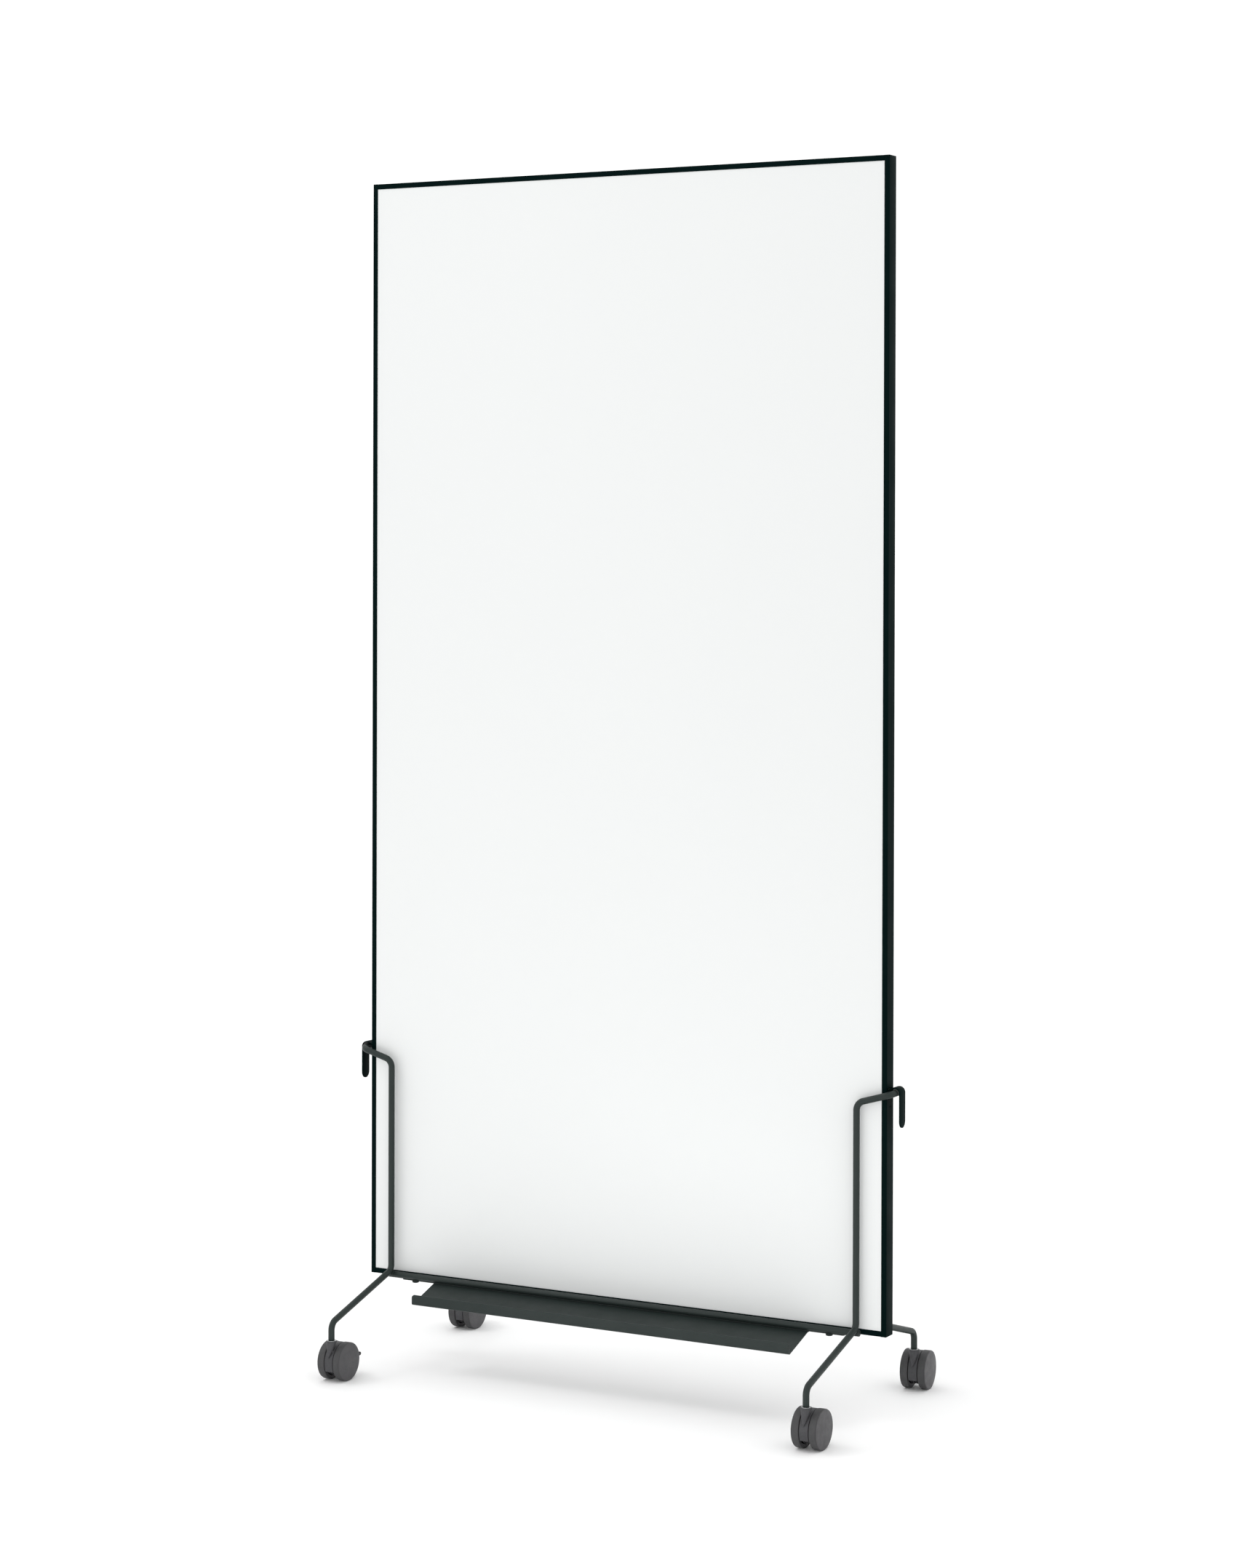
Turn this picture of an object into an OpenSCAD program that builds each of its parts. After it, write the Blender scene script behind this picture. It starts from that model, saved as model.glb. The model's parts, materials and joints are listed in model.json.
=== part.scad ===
// Rolling whiteboard: a framed, double-sided board that hangs by two side hooks between two
// bent rod legs, each on a pair of twin-wheel swivel casters, with a pen tray along the bottom.
// Lengths are in millimetres. X runs along the board, Y towards the back and Z up from the
// floor. The origin is on the floor at the middle of the footprint.

/* [Board] */
// Width of the framed board
board_w = 914; // [800:1:1200]
// Height of the framed board
board_h = 1770; // [1200:1:2000]
// Thickness of the framed board
board_t = 25; // [22:0.5:32]
// Width of the frame that shows round the writing surface
bezel_w = 8.5; // [7:0.5:16]
// Thickness of the frame's outer wall
web_t = 1.8; // [1.4:0.1:2.4]
// Thickness of the frame's front and back lips
lip_t = 1.2; // [0.8:0.1:2]
// Thickness of one enamelled steel writing sheet
sheet_t = 0.5; // [0.3:0.1:1]
// Clearance between a writing sheet and the frame's lips
sheet_clear = 0.3; // [0.1:0.05:0.6]
// Gap between the frame's outer wall and the edge of the panel inside it
panel_gap = 2.4; // [2.2:0.1:4]
// Thickness of the angle brackets inside the frame's corners
bracket_t = 1.9; // [1:0.1:2.1]
// Length of each leg of the corner brackets
bracket_leg = 60; // [40:1:120]

/* [Legs] */
// Diameter of the leg rod
rod_d = 10; // [8:0.5:12]
// Gap between the rod and the face of the board
rod_gap = 5; // [3:0.5:12]
// Distance of the upright rods from the board's side edges
rod_inset = 45; // [30:1:120]
// Height of the upright rods' top corner above the board's lower edge
shoulder_h = 350; // [250:1:500]
// Rise of the rod from its top corner to the loop round the board's edge
loop_rise = 16.4; // [10:0.2:25]
// Distance of the loop's axis outside the board's side edge
loop_out = 11.5; // [11:0.5:18]
// Distance of each caster stem from the middle plane of the board
foot_reach = 197; // [170:1:280]
// Fall of the sloping rod from the knee bend to the ankle bend
leg_fall = 50.7; // [40:0.1:70]
// Height of the knee corner above the board's lower edge
knee_h = 10.7; // [9:0.1:13]
// Straight length of rod above the caster
stem_len = 15.2; // [10:0.2:60]
// Bend radius at the ankle
ankle_r = 15; // [12:0.5:20]
// Bend radius at the knee
knee_r = 12; // [10:0.5:14]
// Bend radius at the top corner
shoulder_r = 15; // [12:0.5:20]
// Bend radius where the rod turns round the board's edge
loop_r = 12; // [10:0.5:12]

/* [Crossbars and tray] */
// Diameter of the two crossbars
bar_d = 10; // [8:0.5:12]
// Gap between a crossbar and the face of the board
bar_gap = 2.5; // [1:0.5:4]
// Thickness of the strip that joins the crossbars under the board
strip_t = 1.5; // [1:0.5:3]
// Distance of the strip's ends from the board's side edges
strip_inset = 65; // [55:1:120]
// Distance of the tray's ends from the board's side edges
tray_inset = 125; // [100:1:200]
// Depth of the tray from the strip's front edge to the lip
tray_depth = 66.5; // [50:0.5:90]
// Slope of the tray floor, down towards the front
tray_slope = 17.4; // [5:0.2:20]
// Thickness of the tray sheet
tray_t = 1.5; // [1:0.1:2]
// Height of the tray's front lip
lip_h = 17.5; // [8:0.5:25]
// Corner radius of the front lip
lip_r = 5; // [2:0.5:7]
// Width of the tray's fixing flange under the strip
flange_w = 16; // [12:1:20]

/* [Hooks] */
// Width of each hook strap
hook_w = 20; // [14:0.5:21]
// Thickness of the hook strap
hook_t = 2; // [1.5:0.1:2.1]
// Thickness of the nylon saddle inside the hook
saddle_t = 1.7; // [1:0.1:3]
// Clearance between the saddle and the rod it hangs on
saddle_clear = 0.3; // [0.2:0.05:0.5]
// Length of the tongue below the axis of the loop
tongue_len = 52; // [40:1:80]
// Length of the fixing tail inside the frame
tail_len = 34; // [30:1:60]
// Slope of the strap where it leaves the frame
hook_slope = 20; // [12:1:28]

/* [Casters] */
// Diameter of the wheels
wheel_d = 60; // [56:1:80]
// Width over both wheels
caster_w = 43; // [40:0.5:56]
// Distance of the axle behind the swivel axis
trail = 20; // [18:0.5:26]
// Width of the housing between the wheels
housing_w = 15; // [14:0.5:18]
// Gap between the housing and each wheel
wheel_gap = 0.7; // [0.5:0.1:1.5]
// Thickness of the soft tread
tyre_t = 3; // [2:0.5:5]
// Diameter of the axle
axle_d = 6; // [5:0.5:8]
// Diameter of the pin at the end of the leg rod
pin_d = 7.6; // [6:0.1:7.6]
// Outer diameter of the steel bush round the pin
bush_d = 10; // [9.6:0.1:11]
// Diameter of the bush's flange
flange_d = 15; // [13:0.5:16]
// Thickness of the bush's flange
flange_t = 1; // [1:0.5:3]
// Radial clearance of every turning fit
run_clear = 0.08; // [0.02:0.01:0.1]
// Width of the brake pedal
pedal_w = 25; // [20:1:40]
// How far the brake pedal stands out behind the wheels
pedal_out = 17; // [16:1:28]
// Angle at which the rear right caster is parked
parked_angle = 5; // [-30:1:30]

/* [Hidden] */
$fn = 64;

CASTERS = ["front_left", "front_right", "rear_left", "rear_right"];
CASTER_PIECES = ["housing", "stem_bush", "grip_ring", "axle", "inner_wheel", "outer_wheel",
                 "inner_tyre", "outer_tyre"];
BRAKE_PIECES = ["brake_pedal", "brake_pin"];

// Colours
rod_colour = "#3b4644";
frame_colour = "#0d1514";
sheet_colour = "#f1f3f3";
core_colour = "#c9b48c";
steel_colour = "#c8cacc";
plastic_colour = "#4c4c50";
tyre_colour = "#434346";
pedal_colour = "#1b1b1d";
saddle_colour = "#2a2723";

// How far pieces of one solid run into each other
overlap = 0.2;
bend_swell = 0.04;

// Casters, measured from the swivel axis on the floor
wheel_r = wheel_d / 2;
fender_r = wheel_r - 0.7;
fender_t = 2.5;
rib_t = 1.6;
rib_r = wheel_r - 7;
skirt_z = 17;
boss_d = housing_w + 0.6;
boss_base = 36;
boss_top = wheel_d + 5;
caster_h = boss_top + flange_t;
thrust_clear = 0.1;
pin_end = 38;
ring_z = 40;
ring_t = 1;
ring_clear = 0.1;
groove_depth = 0.6;
bush_end = ring_z + ring_t + ring_clear;
axle_end = 2;
wheel_in = housing_w / 2 + wheel_gap;
wheel_t = caster_w / 2 - wheel_in;
dome_h = 1.1;
tread_t = wheel_t - dome_h - 1;
pivot_d = 3;
pivot_back = 18;
pivot_up = 2.5;
lever_w = 8;
lever_t = 6;
lever_clear = 0.3;
paddle_l = 14;
pedal_reach = wheel_r + pedal_out;

// Legs, measured from the middle plane of the board
rod_x = board_w / 2 - rod_inset;
rod_y = board_t / 2 + rod_gap + rod_d / 2;
ankle_turn = atan((foot_reach - rod_y) / leg_fall);
ankle_z = hundredth(caster_h + stem_len + ankle_r * tan(ankle_turn / 2));
knee_z = ankle_z + leg_fall;
board_z = knee_z - knee_h;
shoulder_z = board_z + shoulder_h;
loop_x = board_w / 2 + loop_out;
loop_z = shoulder_z + loop_rise;
front_half = [
    [rod_x, -foot_reach, caster_h + thrust_clear],
    [rod_x, -foot_reach, ankle_z],
    [rod_x, -rod_y, knee_z],
    [rod_x, -rod_y, shoulder_z],
    [loop_x, -rod_y, loop_z]
];
half_radii = [0, ankle_r, knee_r, shoulder_r, loop_r];
leg_path = concat(front_half, [for (i = [4:-1:0]) [front_half[i].x, -front_half[i].y, front_half[i].z]]);
leg_radii = concat(half_radii, [for (i = [4:-1:0]) half_radii[i]]);

// Crossbars: each one lies against the outside of the knee bends, where it is welded
weld_bite = 0.2;
bar_y = board_t / 2 + bar_gap + bar_d / 2;
knee_centre_y = rod_y + knee_r;
knee_centre_z = knee_z + knee_r * tan(ankle_turn / 2);
bar_reach = knee_r + rod_d / 2 + bar_d / 2 - weld_bite;
bar_z = hundredth(knee_centre_z - sqrt(pow(bar_reach, 2) - pow(knee_centre_y - bar_y, 2)));
bar_half = rod_x + rod_d / 2;
strip_top = bar_z - bar_d / 2;
strip_half = bar_y + 1.5;
strip_end = board_w / 2 - strip_inset;
strip_screw_x = strip_end - 25;
screw_head_d = 11;
screw_head_h = 3;
screw_d = 5;
screw_bite = 5;

// Pen tray
rivet_y = -strip_half + flange_w / 2;
tray_top = strip_top - strip_t;
tray_half = board_w / 2 - tray_inset;
tray_fold = tray_t * tan(tray_slope / 2);
tray_fall = tray_depth * tan(tray_slope);
rivet_d = 3;
rivet_head_d = 6.5;
rivet_head_h = 1.5;

// Board
panel_in = web_t + panel_gap;
channel_t = board_t - 2 * lip_t;
core_half = channel_t / 2;
board_top = board_z + board_h;
corner_w = 16;

// Hooks, in the plane across the board's edge
hook_in = rod_d / 2 + saddle_clear + saddle_t;
hook_mid = hook_in + hook_t / 2;
hook_out = hook_in + hook_t;
saddle_r = hook_in - bend_swell / 2;
strap_x = hook_mid * sin(hook_slope);
strap_z = hook_mid * cos(hook_slope);
hook_start = loop_x - board_w / 2 + web_t + hook_t;
strap_run = (hook_start - strap_x) / cos(hook_slope);
strap_drop = (hook_start - strap_x - hook_t / 2) * tan(hook_slope);
slot_clear = 0.4;
slot_mid_z = loop_z + strap_z - (loop_x - board_w / 2 + web_t / 2 - strap_x) * tan(hook_slope);
slot_h = hook_t / cos(hook_slope) + web_t * tan(hook_slope) + 2 * slot_clear;
hook_screw_d = 3.5;
hook_screw_head = 6.6;
hook_screw_z = [loop_z - 8, loop_z - 22];

// Footprint: the front wheels reach forwards and the rear brake pedal reaches back
front_extent = foot_reach - trail + wheel_r;
rear_extent = foot_reach + trail + pedal_reach;
middle_y = (front_extent - rear_extent) / 2;

function hundredth(v) = round(100 * v) / 100;
function unit(v) = v / norm(v);
function frame_matrix(x, y, z, o) = [
    [x.x, y.x, z.x, o.x], [x.y, y.y, z.y, o.y], [x.z, y.z, z.z, o.z], [0, 0, 0, 1]];
function turn_at(path, i) = acos(unit(path[i] - path[i - 1]) * unit(path[i + 1] - path[i]));
function trim_at(path, radii, i) = (i == 0 || i == len(path) - 1) ? 0
    : radii[i] * tan(turn_at(path, i) / 2);
function arc(cx, cy, r, from, to, steps) = [for (i = [0:steps])
    let (a = from + (to - from) * i / steps) [cx + r * cos(a), cy + r * sin(a)]];

// Moves a shape from the board's middle plane to the part's own frame
module place() {
    translate([0, middle_y, 0]) children();
}

module both_faces() {
    children();
    mirror([0, 1, 0]) children();
}

module both_sides() {
    children();
    mirror([1, 0, 0]) children();
}

// A straight rod from one point to another
module straight(from, to, d) {
    along = unit(to - from);
    side = unit(cross(abs(along.z) > 0.9 ? [1, 0, 0] : [0, 0, 1], along));
    multmatrix(frame_matrix(side, cross(along, side), along, from))
        cylinder(d = d, h = norm(to - from));
}

// The bend of a rod round one corner of its path
module elbow(path, i, r, d) {
    before = unit(path[i] - path[i - 1]);
    after = unit(path[i + 1] - path[i]);
    turn = turn_at(path, i);
    centre = path[i] + unit(after - before) * r / cos(turn / 2);
    start = path[i] - before * r * tan(turn / 2);
    outward = unit(start - centre);
    multmatrix(frame_matrix(outward, before, cross(outward, before), centre))
        rotate_extrude(angle = turn) translate([r, 0]) circle(d = d);
}

// A rod bent along a path, with one bend radius at each corner; the straights run a little way
// into the bends, which are thicker by a hair
module bent_rod(path, radii, d) {
    for (i = [0:len(path) - 2]) {
        along = unit(path[i + 1] - path[i]);
        at_start = trim_at(path, radii, i) - (i == 0 ? 0 : overlap);
        at_end = trim_at(path, radii, i + 1) - (i == len(path) - 2 ? 0 : overlap);
        straight(path[i] + along * at_start, path[i + 1] - along * at_end, d);
    }
    for (i = [1:len(path) - 2]) elbow(path, i, radii[i], d + bend_swell);
}

// ---- Legs and the pieces welded and screwed between them ----

// The turned end of the rod that the caster swivels on
module stem_pin() {
    difference() {
        translate([0, 0, pin_end]) cylinder(d = pin_d, h = caster_h + thrust_clear - pin_end);
        translate([0, 0, ring_z - ring_clear]) difference() {
            cylinder(d = pin_d + 1, h = ring_t + 2 * ring_clear);
            cylinder(d = pin_d - 2 * groove_depth, h = ring_t + 2 * ring_clear);
        }
    }
}

module leg() {
    color(rod_colour) place() union() {
        bent_rod(leg_path, leg_radii, rod_d, $fn = 36);
        both_faces() translate([rod_x, -foot_reach, 0]) stem_pin();
    }
}

module left_leg() {
    mirror([1, 0, 0]) leg();
}

module right_leg() {
    leg();
}

module crossbar() {
    color(rod_colour) difference() {
        translate([0, -bar_y, bar_z]) rotate([0, 90, 0])
            cylinder(d = bar_d, h = 2 * bar_half, center = true);
        both_sides() translate([strip_screw_x, -bar_y, strip_top - 1])
            cylinder(d = screw_d, h = screw_bite + 1);
    }
}

module front_crossbar() {
    place() crossbar();
}

module rear_crossbar() {
    place() mirror([0, 1, 0]) crossbar();
}

module joining_strip() {
    color(rod_colour) place() difference() {
        translate([-strip_end, -strip_half, strip_top - strip_t])
            cube([2 * strip_end, 2 * strip_half, strip_t]);
        both_sides() both_faces() translate([strip_screw_x, -bar_y, strip_top - strip_t - 1])
            cylinder(d = screw_d, h = strip_t + 2);
        for (x = rivet_places()) translate([x, rivet_y, strip_top - strip_t - 1])
            cylinder(d = rivet_d, h = strip_t + 2);
    }
}

// Pan-head screws that hold the strip up against the crossbars
module strip_screws() {
    color(rod_colour) place() both_sides() both_faces()
        translate([strip_screw_x, -bar_y, strip_top - strip_t]) {
            cylinder(d = screw_d, h = strip_t + screw_bite);
            mirror([0, 0, 1]) cylinder(d1 = screw_head_d, d2 = screw_head_d - 2.4, h = screw_head_h);
        }
}

function rivet_places() = [for (i = [-2:2]) i * (tray_half - 30) / 2];

// The tray's cross-section: flange, sloping floor and lip, with X forwards and Y up
module tray_outline() {
    polygon([
        [-flange_w, 0],
        [-flange_w, -tray_t],
        [-tray_fold, -tray_t],
        [tray_depth, -tray_fall - tray_t / cos(tray_slope)],
        [tray_depth, lip_h - tray_fall - tray_t / cos(tray_slope)],
        [tray_depth - tray_t, lip_h - tray_fall - tray_t / cos(tray_slope)],
        [tray_depth - tray_t, -tray_fall + tray_t * tan(tray_slope)],
        [0, 0]
    ]);
}

// A plate that rounds the upper corners of the lip
module lip_corner() {
    lip_top = tray_top + lip_h - tray_fall - tray_t / cos(tray_slope);
    translate([tray_half - lip_r, -strip_half - tray_depth - 1, lip_top - lip_r]) difference() {
        cube([lip_r + 1, tray_t + 2, lip_r + 1]);
        translate([0, -1, 0]) rotate([-90, 0, 0]) cylinder(r = lip_r, h = tray_t + 4);
    }
}

module pen_tray() {
    color(rod_colour) place() difference() {
        translate([0, -strip_half, tray_top]) rotate([90, 0, -90])
            linear_extrude(2 * tray_half, center = true) tray_outline();
        both_sides() lip_corner();
        for (x = rivet_places()) translate([x, rivet_y, tray_top - tray_t - 1])
            cylinder(d = rivet_d, h = tray_t + 2);
    }
}

// Low-headed screws that hold the tray's flange to the strip
module tray_screws() {
    color(rod_colour) place() for (x = rivet_places()) translate([x, rivet_y, tray_top - tray_t]) {
        cylinder(d = rivet_d, h = tray_t + strip_t);
        mirror([0, 0, 1]) cylinder(d1 = rivet_head_d, d2 = rivet_head_d - 1.6, h = rivet_head_h);
    }
}

// ---- Board ----

// Channel section that holds the panel: the outer wall lies along X = 0
module channel(width) {
    difference() {
        translate([0, -board_t / 2]) square([width, board_t]);
        translate([web_t, -channel_t / 2]) square([width, channel_t]);
    }
}

module stile() {
    color(frame_colour) place() difference() {
        translate([board_w / 2, 0, board_z]) mirror([1, 0, 0]) linear_extrude(board_h) channel(bezel_w);
        translate([board_w / 2 - web_t - 1, -hook_w / 2 - slot_clear, slot_mid_z - slot_h / 2])
            cube([web_t + 2, hook_w + 2 * slot_clear, slot_h]);
        hook_screw_places() screw_shape(web_t + 2);
    }
}

// Places a countersunk screw, head outwards, at each fixing point of the hook
module hook_screw_places() {
    for (z = hook_screw_z) translate([board_w / 2, 0, z]) rotate([0, -90, 0]) children();
}

module screw_shape(length) {
    cylinder(d1 = hook_screw_head, d2 = hook_screw_d, h = (hook_screw_head - hook_screw_d) / 2);
    cylinder(d = hook_screw_d, h = length);
}

module left_stile() {
    mirror([1, 0, 0]) stile();
}

module right_stile() {
    stile();
}

module rail() {
    rail_l = board_w - 2 * bezel_w;
    color(frame_colour) rotate([90, -90, 90]) linear_extrude(rail_l, center = true) channel(bezel_w);
}

module bottom_rail() {
    place() translate([0, 0, board_z]) rail();
}

module top_rail() {
    place() translate([0, 0, board_top]) mirror([0, 0, 1]) rail();
}

// A flat block of the board, a given margin inside the frame's outline
module panel_block(margin, y0, y1) {
    place() translate([-board_w / 2 + margin, y0, board_z + margin])
        cube([board_w - 2 * margin, y1 - y0, board_h - 2 * margin]);
}

// The core is trapped in the frame's channels, and each sheet is bonded to it between the lips
module panel_core() {
    color(core_colour) panel_block(panel_in, -core_half, core_half);
}

module front_sheet() {
    color(sheet_colour) panel_block(bezel_w + sheet_clear, -core_half - sheet_t, -core_half);
}

module rear_sheet() {
    color(sheet_colour) panel_block(bezel_w + sheet_clear, core_half, core_half + sheet_t);
}

// One angle bracket inside the lower right corner of the frame
module corner_bracket() {
    corner_x = board_w / 2 - web_t;
    translate([corner_x - bracket_leg, -corner_w / 2, board_z + web_t])
        cube([bracket_leg, corner_w, bracket_t]);
    translate([corner_x - bracket_t, -corner_w / 2, board_z + web_t])
        cube([bracket_t, corner_w, bracket_leg]);
}

module corner_brackets() {
    color(steel_colour) place() both_sides() {
        corner_bracket();
        translate([0, 0, 2 * board_z + board_h]) mirror([0, 0, 1]) corner_bracket();
    }
}

// ---- Hooks ----

// The hook's strap seen along Y, with the axis of the rod at the origin
module strap_outline() {
    difference() {
        circle(r = hook_out + bend_swell / 2);
        circle(r = saddle_r);
        translate([-2 * hook_out, -2 * hook_out]) square([4 * hook_out, 2 * hook_out]);
        rotate(hook_slope) translate([-2 * hook_out, 0]) square([2 * hook_out, 2 * hook_out]);
    }
    translate([hook_in, -tongue_len]) square([hook_t, tongue_len + overlap]);
    translate([-strap_x, strap_z]) rotate(hook_slope)
        translate([-strap_run, -hook_t / 2]) square([strap_run + overlap, hook_t]);
    translate([-hook_start, strap_z - strap_drop - tail_len]) square([hook_t, tail_len]);
}

// Rounds the tip of the tongue to a half circle
module tongue_tip() {
    translate([hook_in - 1, 0, -tongue_len]) difference() {
        translate([0, -hook_w, -1]) cube([hook_t + 2, 2 * hook_w, hook_w / 2 + 1]);
        translate([-1, 0, hook_w / 2]) rotate([0, 90, 0]) cylinder(d = hook_w, h = hook_t + 4);
    }
}

module hook() {
    color(frame_colour) place() difference() {
        translate([loop_x, 0, loop_z]) difference() {
            rotate([90, 0, 0]) linear_extrude(hook_w, center = true) strap_outline();
            tongue_tip();
        }
        hook_screw_places() cylinder(d = hook_screw_d, h = 2 * hook_start);
    }
}

module left_hook() {
    mirror([1, 0, 0]) hook();
}

module right_hook() {
    hook();
}

// Nylon saddles that line the hooks and rest on the leg rods
module hook_saddles() {
    color(saddle_colour) place() both_sides() translate([loop_x, 0, loop_z]) rotate([90, 0, 0])
        linear_extrude(hook_w, center = true) difference() {
            circle(r = saddle_r);
            circle(r = hook_in - saddle_t);
            translate([-2 * hook_out, -2 * hook_out]) square([4 * hook_out, 2 * hook_out]);
            rotate(hook_slope) translate([-2 * hook_out, 0]) square([2 * hook_out, 2 * hook_out]);
        }
}

module hook_screws() {
    color(frame_colour) place() both_sides() hook_screw_places() screw_shape(web_t + hook_t);
}

// ---- Casters ----

function at_rear(c) = c > 1;
function braked(c) = c == 0 || c == 2;
function parked(c) = c == 3 ? parked_angle : 0;

// Moves a caster from its own swivel axis to its place under the legs
module at_caster(c) {
    side = (c % 2 == 0) ? -1 : 1;
    place() translate([side * rod_x, (at_rear(c) ? 1 : -1) * foot_reach, 0])
        rotate([0, 0, parked(c)]) children();
}

// Puts a flat outline, or a shape built up along Z, on the axle's axis
module on_axle() {
    translate([0, trail, wheel_r]) rotate([90, 0, 90]) children();
}

// The arched cover between the wheels, open below the skirt
module fender_outline() {
    difference() {
        circle(r = fender_r);
        circle(r = fender_r - fender_t);
        translate([-wheel_r, -wheel_r]) square([2 * wheel_r, skirt_z]);
    }
}

module rib_outline() {
    circle(r = rib_r);
    difference() {
        circle(r = fender_r - fender_t);
        translate([-wheel_r, -wheel_r]) square([2 * wheel_r, skirt_z]);
    }
}

module lever_slot() {
    translate([-lever_w / 2 - lever_clear, trail + 10, wheel_r + pivot_up - 9])
        cube([lever_w + 2 * lever_clear, wheel_r, 21]);
    translate([-lever_w / 2 - lever_clear, trail + 10, wheel_r + pivot_up - 6])
        cube([lever_w + 2 * lever_clear, 2 * wheel_r, 16]);
}

module housing(c) {
    color(plastic_colour) at_caster(c) difference() {
        union() {
            on_axle() linear_extrude(housing_w, center = true) fender_outline();
            for (x = [-3, -1, 1, 3] * (housing_w - rib_t) / 6) on_axle() translate([0, 0, x])
                linear_extrude(rib_t, center = true) rib_outline();
            on_axle() cylinder(r = rib_r / 3, h = housing_w, center = true);
            translate([0, 0, boss_base]) cylinder(d = boss_d, h = boss_top - boss_base);
        }
        translate([0, 0, pin_end - 0.5]) cylinder(d = bush_d, h = caster_h);
        on_axle() cylinder(d = axle_d, h = 2 * housing_w, center = true);
        if (braked(c)) {
            lever_slot();
            on_pivot() cylinder(d = pivot_d, h = 2 * housing_w, center = true);
        }
    }
}

module stem_bush(c) {
    color(steel_colour) at_caster(c) difference() {
        union() {
            translate([0, 0, bush_end]) cylinder(d = bush_d, h = caster_h - bush_end);
            translate([0, 0, boss_top]) cylinder(d = flange_d, h = flange_t);
        }
        translate([0, 0, bush_end - 1]) cylinder(d = pin_d + 2 * run_clear, h = caster_h);
    }
}

// Spring ring that snaps into the groove of the pin
module grip_ring(c) {
    color(steel_colour) at_caster(c) translate([0, 0, ring_z]) difference() {
        cylinder(d = bush_d, h = ring_t);
        translate([0, 0, -1]) cylinder(d = pin_d - 2 * groove_depth + 2 * run_clear, h = ring_t + 2);
        translate([0, 0, -1]) linear_extrude(ring_t + 2)
            polygon([[0, 0], [bush_d, -3], [bush_d, 3]]);
    }
}

module axle(c) {
    color(steel_colour) at_caster(c) on_axle()
        cylinder(d = axle_d, h = caster_w - 2 * dome_h - 2 * axle_end - 1, center = true);
}

// Half cross-section of a wheel: X is the radius and Y runs outwards from the inner face
module wheel_outline() {
    core_r = wheel_r - tyre_t;
    face_r = core_r - 0.6;
    dome_r = (pow(face_r, 2) + pow(dome_h, 2)) / (2 * dome_h);
    dome_a = asin(face_r / dome_r);
    bore_r = axle_d / 2 + run_clear;
    polygon(concat(
        [[bore_r, 0.3], [bore_r + 3, 0.3], [bore_r + 3, wheel_t - 5], [core_r - 3, wheel_t - 5],
         [core_r - 3, 0.3], [core_r, 0.3], [core_r, wheel_t - dome_h - 0.4],
         [face_r, wheel_t - dome_h]],
        arc(0, wheel_t - dome_r, dome_r, 90 - dome_a, 90, 6),
        [[0, wheel_t - axle_end - dome_h], [bore_r, wheel_t - axle_end - dome_h]]
    ));
}

module tyre_outline() {
    core_r = wheel_r - tyre_t;
    round_r = 1.4;
    polygon(concat(
        [[core_r, 0]],
        arc(wheel_r - round_r, round_r, round_r, -90, 0, 4),
        arc(wheel_r - round_r, tread_t - round_r, round_r, 0, 90, 4),
        [[core_r, tread_t]]
    ));
}

// Spins a wheel's cross-section about the axle; side is 1 for the +X wheel, -1 for the other
module wheel_spin(c, side) {
    at_caster(c) translate([side * wheel_in, trail, wheel_r]) rotate([0, side * 90, 0])
        rotate_extrude() children();
}

module wheel(c, side) {
    color(plastic_colour) wheel_spin(c, side) wheel_outline();
}

module tyre(c, side) {
    color(tyre_colour) wheel_spin(c, side) tyre_outline();
}

// Puts a shape built up along Z on the axis of the brake pedal's pin
module on_pivot() {
    translate([0, trail + pivot_back, wheel_r + pivot_up]) rotate([90, 0, 90]) children();
}

module brake_pedal(c) {
    arm_l = pedal_reach - pivot_back - paddle_l;
    color(pedal_colour) at_caster(c) on_pivot() difference() {
        union() {
            linear_extrude(lever_w, center = true) {
                circle(d = lever_t + 2);
                translate([0, -lever_t / 2]) square([arm_l, lever_t]);
                translate([-6, -lever_t / 2]) square([6, lever_t]);
            }
            linear_extrude(pedal_w, center = true) {
                translate([arm_l - 1, -lever_t / 2]) square([paddle_l - lever_t / 2 + 1, lever_t]);
                translate([arm_l + paddle_l - lever_t / 2, 0]) circle(d = lever_t);
            }
        }
        cylinder(d = pivot_d + 2 * run_clear, h = 2 * lever_w, center = true);
    }
}

module brake_pin(c) {
    color(steel_colour) at_caster(c) on_pivot() cylinder(d = pivot_d, h = housing_w, center = true);
}

// ---- Drawing ----

left_leg();
right_leg();
front_crossbar();
rear_crossbar();
joining_strip();
strip_screws();
pen_tray();
tray_screws();
left_stile();
right_stile();
top_rail();
bottom_rail();
panel_core();
front_sheet();
rear_sheet();
corner_brackets();
left_hook();
right_hook();
hook_saddles();
hook_screws();
for (c = [0:3]) {
    housing(c);
    stem_bush(c);
    grip_ring(c);
    axle(c);
    wheel(c, c % 2 == 0 ? 1 : -1);
    wheel(c, c % 2 == 0 ? -1 : 1);
    tyre(c, c % 2 == 0 ? 1 : -1);
    tyre(c, c % 2 == 0 ? -1 : 1);
}
for (c = [0, 2]) {
    brake_pedal(c);
    brake_pin(c);
}
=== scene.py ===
"""Looks of the rolling whiteboard. Shapes are made in millimetres and stored in metres."""

import json
import math

import bmesh
import bpy
from mathutils import Matrix, Vector


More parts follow.
